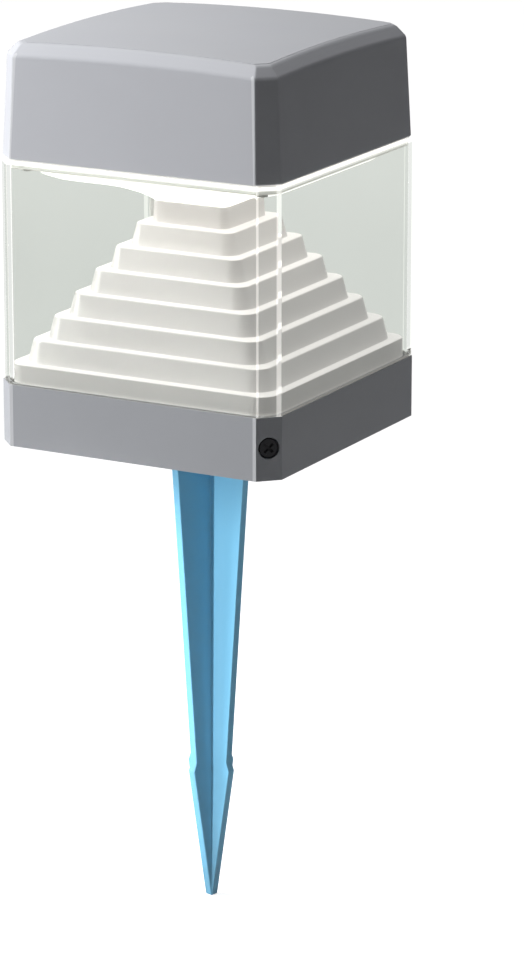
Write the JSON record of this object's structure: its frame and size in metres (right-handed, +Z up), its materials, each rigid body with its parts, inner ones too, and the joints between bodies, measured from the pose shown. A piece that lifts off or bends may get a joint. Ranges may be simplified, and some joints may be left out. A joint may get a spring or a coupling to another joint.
{
  "type": "garden light on a ground stake",
  "caption": "Square garden light with a clear lens round a stepped white reflector, a grey cap over a flat twist-in lamp, and a ribbed ground stake.",
  "frame": {"origin": "on the stake's axis at the head's lower edge, which is ground level in use", "axes": "+Z up, the head's front face looks along -Y, the corner with the visible lock screw is at +X -Y"},
  "size_m": [0.16, 0.16, 0.463],
  "materials": {
    "grey_plastic": "satin light grey moulding with a fine grain",
    "stake_plastic": "satin light blue moulding",
    "white_plastic": "satin white",
    "white_reflector": "smooth bright white",
    "black_plastic": "satin black",
    "clear_lens": "clear moulded plastic, slightly green at the edges",
    "glowing_opal": "opal white, lit from behind",
    "zinc_steel": "zinc plated",
    "pin_brass": "plain turned brass",
    "black_rubber": "matte",
    "silicone": "matte pale grey",
    "board": "white solder mask",
    "brown_wire": "brown insulation",
    "blue_wire": "blue insulation"
  },
  "bodies": {
    "stake": {"ground_spike": "stake_plastic", "spike_bolt": "zinc_steel", "spike_washer": "zinc_steel", "spike_nut": "zinc_steel", "mounting_plate": "grey_plastic", "plate_gasket": "black_rubber", "gland_body": "black_plastic", "gland_nut": "black_plastic", "gland_seal": "black_rubber", "gland_locknut": "black_plastic", "terminal_block": "white_plastic", "terminal_screws": "zinc_steel"},
    "head": {"base_ring": "grey_plastic", "lens_seal": "silicone", "clear_lens": "clear_lens", "cap_seal": "silicone", "top_cap": "grey_plastic", "stepped_reflector": "white_reflector", "reflector_screws": "zinc_steel", "upper_diffuser": "glowing_opal", "neck_screw": "zinc_steel", "cap_screws": "zinc_steel", "lamp_strap": "zinc_steel", "strap_screws": "zinc_steel", "lamp_holder": "white_plastic", "holder_screws": "zinc_steel", "holder_nuts": "zinc_steel", "wire_duct": "white_plastic", "wire_live": "brown_wire", "wire_neutral": "blue_wire", "lead_plug": "black_plastic", "plug_pins": "pin_brass"},
    "lamp": {"lamp_housing": "white_plastic", "lamp_cover": "glowing_opal", "led_board": "board", "lamp_pins": "pin_brass"},
    "lock_front": {"corner_screw_front": "zinc_steel"},
    "lock_rear": {"corner_screw_rear": "zinc_steel"}
  },
  "joints": [
    {"name": "head_lift", "type": "slide", "parent": "stake", "child": "head", "axis": [0, 0, 1], "range_m": [0, 0.06]},
    {"name": "lamp_twist", "type": "hinge", "parent": "head", "child": "lamp", "pos_m": [0, 0, 0.177], "axis": [0, 0, 1], "range_deg": [0, 20]},
    {"name": "lock_screw_front", "type": "slide", "parent": "head", "child": "lock_front", "axis": [0.7071, -0.7071, 0], "range_m": [0, 0.006]},
    {"name": "lock_screw_rear", "type": "slide", "parent": "head", "child": "lock_rear", "axis": [-0.7071, 0.7071, 0], "range_m": [0, 0.006]}
  ]
}
